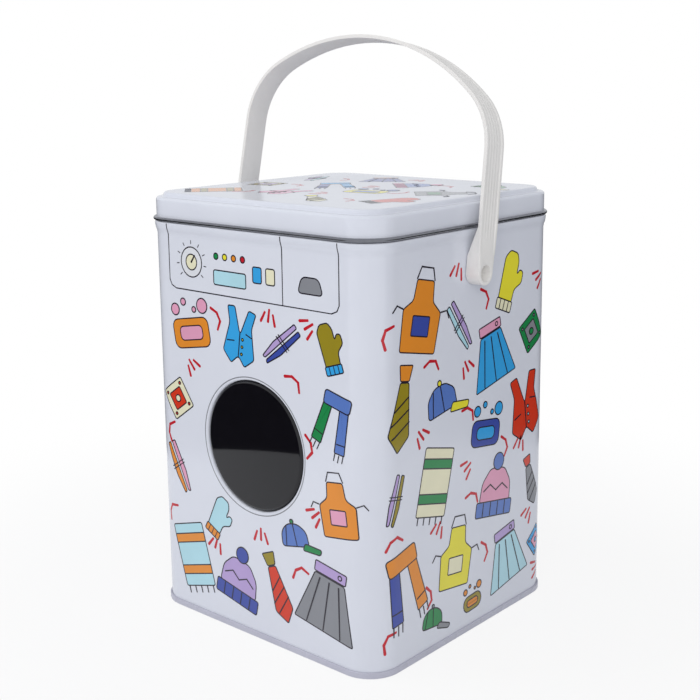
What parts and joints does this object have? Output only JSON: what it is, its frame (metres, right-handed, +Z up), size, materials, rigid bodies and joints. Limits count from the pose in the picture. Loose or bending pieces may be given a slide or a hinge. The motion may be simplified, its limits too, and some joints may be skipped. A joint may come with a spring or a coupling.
{
  "type": "laundry powder box",
  "caption": "Square tinplate box for washing powder with a slip-on lid, a round dark window in the front and a swinging strap handle.",
  "frame": {"origin": "on the table under the middle of the box", "axes": "+Z up, the round window faces -Y, the handle's pivot line runs along X"},
  "size_m": [0.183, 0.1644, 0.3214],
  "materials": {
    "lacquered_wall": "gloss white lacquer on tinplate, printed",
    "lacquered_base": "clear lacquer on tinplate",
    "lacquered_lid": "gloss white lacquer on tinplate, printed",
    "black_pane": "black, polished",
    "white_strap": "white soft plastic, satin"
  },
  "bodies": {
    "tin": {"tin_body": "lacquered_wall", "base_plate": "lacquered_base", "porthole_pane": "black_pane"},
    "lid": {"lid": "lacquered_lid"},
    "handle": {"carry_handle": "white_strap"}
  },
  "joints": [
    {"name": "handle_swing", "type": "hinge", "parent": "tin", "child": "handle", "pos_m": [0, 0, 0.199], "axis": [1, 0, 0], "range_deg": [-104, 124]},
    {"name": "lid_lift", "type": "slide", "parent": "tin", "child": "lid", "axis": [0, 0, 1], "range_m": [0, 0.018]}
  ]
}
